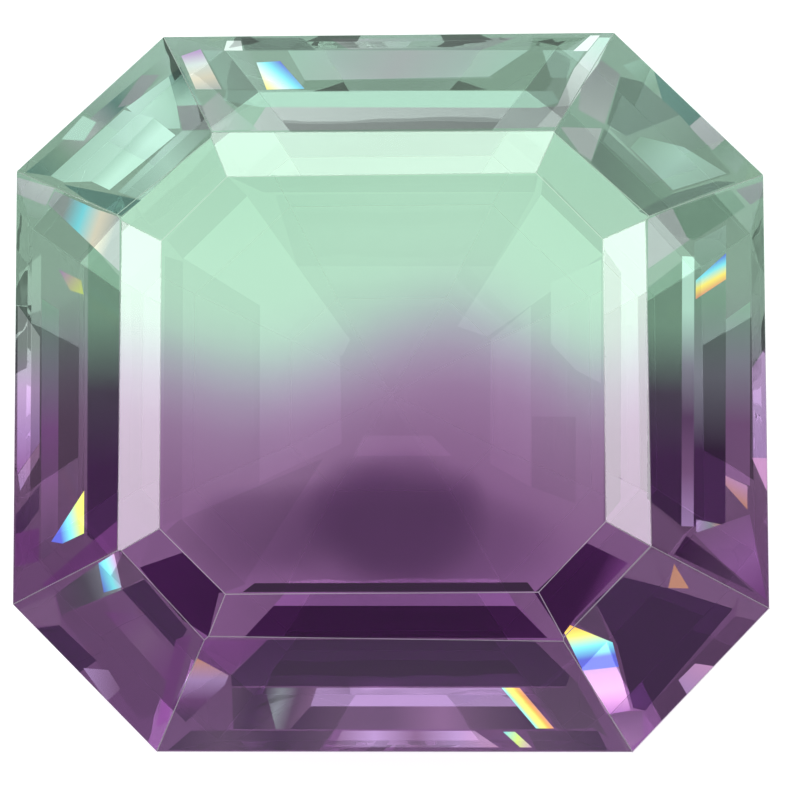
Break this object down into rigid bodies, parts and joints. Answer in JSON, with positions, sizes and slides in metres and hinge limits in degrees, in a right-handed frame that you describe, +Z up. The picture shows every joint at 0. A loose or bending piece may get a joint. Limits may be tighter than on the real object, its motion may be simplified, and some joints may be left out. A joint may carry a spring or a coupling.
{
  "type": "faceted fluorite gemstone",
  "caption": "Loose square step-cut gemstone of clear fluorite with cut corners, green shading into purple, lying on a facet of its pointed base.",
  "frame": {"origin": "centre of the bounding box on the ground that the stone lies on", "axes": "+Z up, +X across the stone along the resting facet's level edges, -Y towards the side that the table leans to"},
  "size_m": [0.016, 0.0132, 0.0106],
  "materials": {
    "fluorite": "polished"
  },
  "bodies": {
    "root": {"fluorite_gem": "fluorite"}
  },
  "joints": []
}
